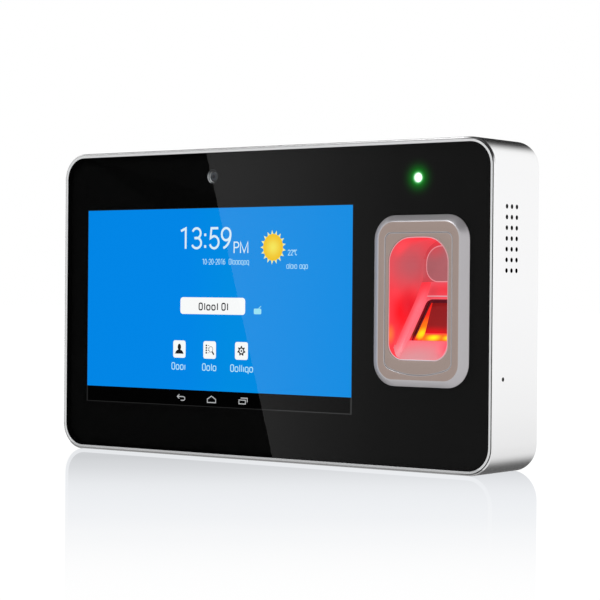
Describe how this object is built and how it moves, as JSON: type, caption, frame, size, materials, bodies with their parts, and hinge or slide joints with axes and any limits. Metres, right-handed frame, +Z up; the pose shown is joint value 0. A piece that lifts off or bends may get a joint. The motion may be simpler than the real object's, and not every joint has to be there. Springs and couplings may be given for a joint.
{
  "type": "fingerprint scanner terminal",
  "caption": "Wall-hung access terminal with a wide touch display, camera, status light and optical finger reader in an aluminium band.",
  "frame": {"origin": "centre of the footprint, on the surface that the terminal stands on", "axes": "+Z up, the glass front faces -Y, +X to the right as seen from the front"},
  "size_m": [0.238, 0.0404, 0.139],
  "materials": {
    "satin_aluminium": "fine satin blast, clear anodised",
    "bright_ring": "smooth satin",
    "cover_glass": "polished tempered glass",
    "black_print": "opaque black print on the back of the glass",
    "black_foam": "closed-cell foam",
    "frame_plastic": "glass-filled moulding",
    "plated_steel": "nickel plated",
    "lcd_glass": "lit display film",
    "light_guide": "white diffuser stack",
    "flex_copper": "amber polyimide film",
    "circuit_board": "green solder mask",
    "chip_black": "moulded epoxy",
    "camera_glass": "coated lens",
    "light_pipe": "clear acrylic",
    "led_green": "lit light-emitting diode",
    "bezel_paint": "warm grey metallic paint, satin",
    "red_guide": "translucent red moulding",
    "prism_glass": "polished optical glass",
    "led_amber": "lit light-emitting diode",
    "black_plastic": "fine texture",
    "relay_blue": "moulded case",
    "terminal_green": "moulded polyamide",
    "battery_wrap": "laminated pouch",
    "speaker_paper": "treated cone",
    "plunger_white": "acetal",
    "plunger_ochre": "acetal",
    "spring_steel": "bright spring wire",
    "plate_steel": "zinc-grey powder coat"
  },
  "bodies": {
    "terminal": {"shell": "satin_aluminium", "front_ring": "bright_ring", "front_glass": "cover_glass", "ink_mask": "black_print", "glass_gasket": "black_foam", "mid_frame": "frame_plastic", "frame_screws": "plated_steel", "lcd_frame": "plated_steel", "lcd_panel": "lcd_glass", "backlight": "light_guide", "lcd_flex": "flex_copper", "touch_flex": "flex_copper", "camera_barrel": "black_plastic", "camera_lens": "camera_glass", "camera_board": "circuit_board", "light_pipe": "light_pipe", "status_led": "led_green", "led_board": "circuit_board", "fp_bezel": "bezel_paint", "fp_inlay": "bezel_paint", "fp_guide": "red_guide", "fp_prism": "prism_glass", "fp_leds": "led_amber", "fp_led_board": "circuit_board", "fp_lens": "black_plastic", "fp_sensor_board": "circuit_board", "fp_housing": "black_plastic", "fp_gasket": "black_foam", "fp_screws": "plated_steel", "main_board": "circuit_board", "board_screws": "plated_steel", "processor": "chip_black", "shield_can": "plated_steel", "memory_chips": "chip_black", "inductors": "chip_black", "capacitors": "black_plastic", "relay": "relay_blue", "coin_cell": "plated_steel", "radio_antenna": "circuit_board", "ethernet_jack": "plated_steel", "usb_port": "plated_steel", "dc_jack": "black_plastic", "terminal_block": "terminal_green", "battery": "battery_wrap", "speaker_frame": "black_plastic", "speaker_cone": "speaker_paper", "speaker_gasket": "black_foam", "speaker_mesh": "black_foam", "reset_board": "circuit_board", "reset_switch": "black_plastic", "back_cover": "frame_plastic", "cover_screws": "plated_steel", "hanger_studs": "plated_steel", "tamper_switch": "black_plastic", "tamper_spring": "spring_steel"},
    "wall_plate": {"wall_plate": "plate_steel"},
    "tamper_plunger": {"tamper_plunger": "plunger_white"},
    "reset_plunger": {"reset_plunger": "plunger_ochre"}
  },
  "joints": [
    {"name": "plate_lift", "type": "slide", "parent": "terminal", "child": "wall_plate", "axis": [0, 0, -1], "range_m": [0, 0.01]},
    {"name": "tamper_press", "type": "slide", "parent": "terminal", "child": "tamper_plunger", "axis": [0, -1, 0], "range_m": [0, 0.0025], "stiffness_N_per_m": 300, "springref_m": -0.002, "deforming": ["tamper_spring"]},
    {"name": "reset_press", "type": "slide", "parent": "terminal", "child": "reset_plunger", "axis": [-1, 0, 0], "range_m": [0, 0.00035], "stiffness_N_per_m": 2000, "springref_m": -0.0003}
  ]
}
